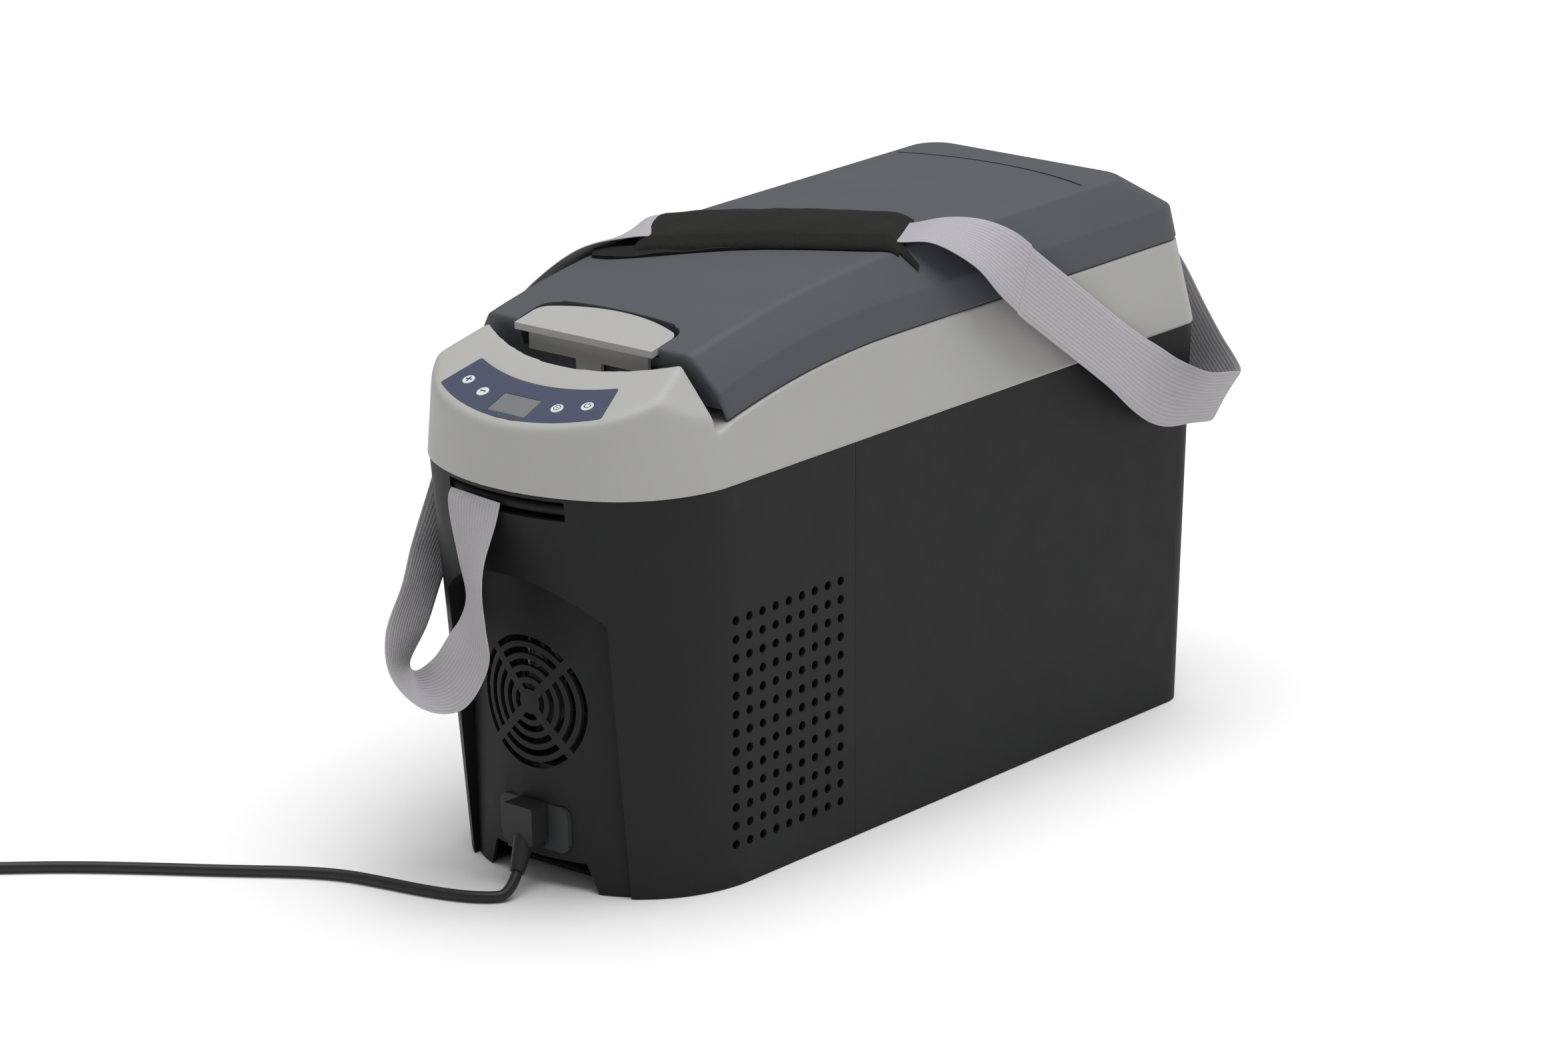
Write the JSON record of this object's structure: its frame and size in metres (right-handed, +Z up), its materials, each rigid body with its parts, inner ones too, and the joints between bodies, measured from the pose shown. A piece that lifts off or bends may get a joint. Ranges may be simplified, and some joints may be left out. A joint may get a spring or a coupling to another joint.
{
  "type": "portable compressor cooler",
  "caption": "Slim portable compressor fridge box with hinged top lid, push latch, angled control console, fan grille, side vents, carry strap with pad and low-voltage lead.",
  "frame": {"origin": "centre of the cabinet's underside, on the floor it stands on", "axes": "+Z up, +X the right side seen from the control end, +Y from the control and fan end to the hinge end"},
  "size_m": [0.5552, 0.9178, 0.3898],
  "materials": {
    "shell_charcoal": "fine moulded grain",
    "trim_grey": "smooth moulded, light sheen",
    "lid_slate": "grained top panel, smoother bevels",
    "inner_liner": "smooth vacuum-formed sheet",
    "foam": "rigid cellular foam",
    "seal_rubber": "soft matt rubber",
    "steel_bright": "plated, lightly brushed",
    "black_plastic": "fine satin grain",
    "compressor_enamel": "semi-gloss black enamel",
    "steel_plate": "zinc-grey coated sheet",
    "aluminium_plate": "rolled sheet",
    "copper": "drawn tube, slightly dulled",
    "overlay_blue": "satin printed film",
    "display_glass": "clear window over a pale display",
    "board_green": "solder-masked board",
    "indicator_green": "translucent lens",
    "indicator_red": "translucent lens",
    "button_white": "satin key cap",
    "socket_grey": "fine moulded grain",
    "webbing_grey": "ribbed woven webbing",
    "pad_black": "soft padded cover",
    "cord_rubber": "smooth flexible sheath"
  },
  "bodies": {
    "cabinet": {"base_plate": "shell_charcoal", "cabinet_insulation": "foam", "collar": "trim_grey", "compressor": "compressor_enamel", "compressor_bracket": "steel_plate", "condenser": "aluminium_plate", "control_board": "board_green", "control_overlay": "overlay_blue", "discharge_pipe": "copper", "display_window": "display_glass", "evaporator_plate": "aluminium_plate", "fan_frame": "black_plastic", "filter_drier": "copper", "foot_front_left": "seal_rubber", "foot_front_right": "seal_rubber", "foot_rear_left": "seal_rubber", "foot_rear_right": "seal_rubber", "front_housing": "shell_charcoal", "grommet_front": "seal_rubber", "grommet_left": "seal_rubber", "grommet_right": "seal_rubber", "hinge_frame_left": "black_plastic", "hinge_frame_right": "black_plastic", "hinge_pin_left": "steel_bright", "hinge_pin_right": "steel_bright", "indicator_fault": "indicator_red", "indicator_run": "indicator_green", "inlet_pins": "steel_bright", "inlet_plate": "socket_grey", "inner_tub": "inner_liner", "latch_striker": "steel_bright", "liquid_pipe": "copper", "power_module": "black_plastic", "rear_housing": "shell_charcoal", "strap_bar_front": "shell_charcoal", "strap_bar_rear": "shell_charcoal", "strap_front": "webbing_grey", "strap_rear": "webbing_grey", "suction_pipe": "copper"},
    "lid": {"lid_cover": "lid_slate", "lid_liner": "inner_liner", "lid_foam": "foam", "lid_seal": "seal_rubber", "hinge_lid_left": "black_plastic", "hinge_lid_right": "black_plastic", "latch_pin": "steel_bright", "latch_spring": "steel_bright", "strap_over_left": "webbing_grey", "strap_over_right": "webbing_grey", "shoulder_pad": "pad_black"},
    "latch": {"latch_handle": "trim_grey"},
    "fan": {"fan_rotor": "black_plastic"},
    "button_plus": {"button_plus": "button_white"},
    "button_minus": {"button_minus": "button_white"},
    "button_set": {"button_set": "button_white"},
    "button_power": {"button_power": "button_white"},
    "power_lead": {"power_plug": "black_plastic", "power_cord": "cord_rubber", "cord_coil": "cord_rubber", "vehicle_plug": "black_plastic"}
  },
  "joints": [
    {"name": "lid_hinge", "type": "hinge", "parent": "cabinet", "child": "lid", "pos_m": [0, 0.28607, 0.3321], "axis": [-1, 0, 0], "range_deg": [0, 95]},
    {"name": "latch_pivot", "type": "hinge", "parent": "lid", "child": "latch", "pos_m": [0, -0.1862, 0.35331], "axis": [-1, 0, 0], "range_deg": [0, 9], "stiffness_Nm_per_rad": 0.3},
    {"name": "fan_spin", "type": "hinge", "parent": "cabinet", "child": "fan", "pos_m": [0, -0.24, 0.124], "axis": [0, 1, 0], "continuous": true},
    {"name": "plug_pull", "type": "slide", "parent": "cabinet", "child": "power_lead", "axis": [0, -1, 0], "range_m": [0, 0.025]},
    {"name": "button_plus_press", "type": "slide", "parent": "cabinet", "child": "button_plus", "axis": [0, 0.3714, -0.9285], "range_m": [0, 0.0008], "stiffness_N_per_m": 300},
    {"name": "button_minus_press", "type": "slide", "parent": "cabinet", "child": "button_minus", "axis": [0, 0.3714, -0.9285], "range_m": [0, 0.0008], "stiffness_N_per_m": 300},
    {"name": "button_set_press", "type": "slide", "parent": "cabinet", "child": "button_set", "axis": [0, 0.3714, -0.9285], "range_m": [0, 0.0008], "stiffness_N_per_m": 300},
    {"name": "button_power_press", "type": "slide", "parent": "cabinet", "child": "button_power", "axis": [0, 0.3714, -0.9285], "range_m": [0, 0.0008], "stiffness_N_per_m": 300}
  ]
}
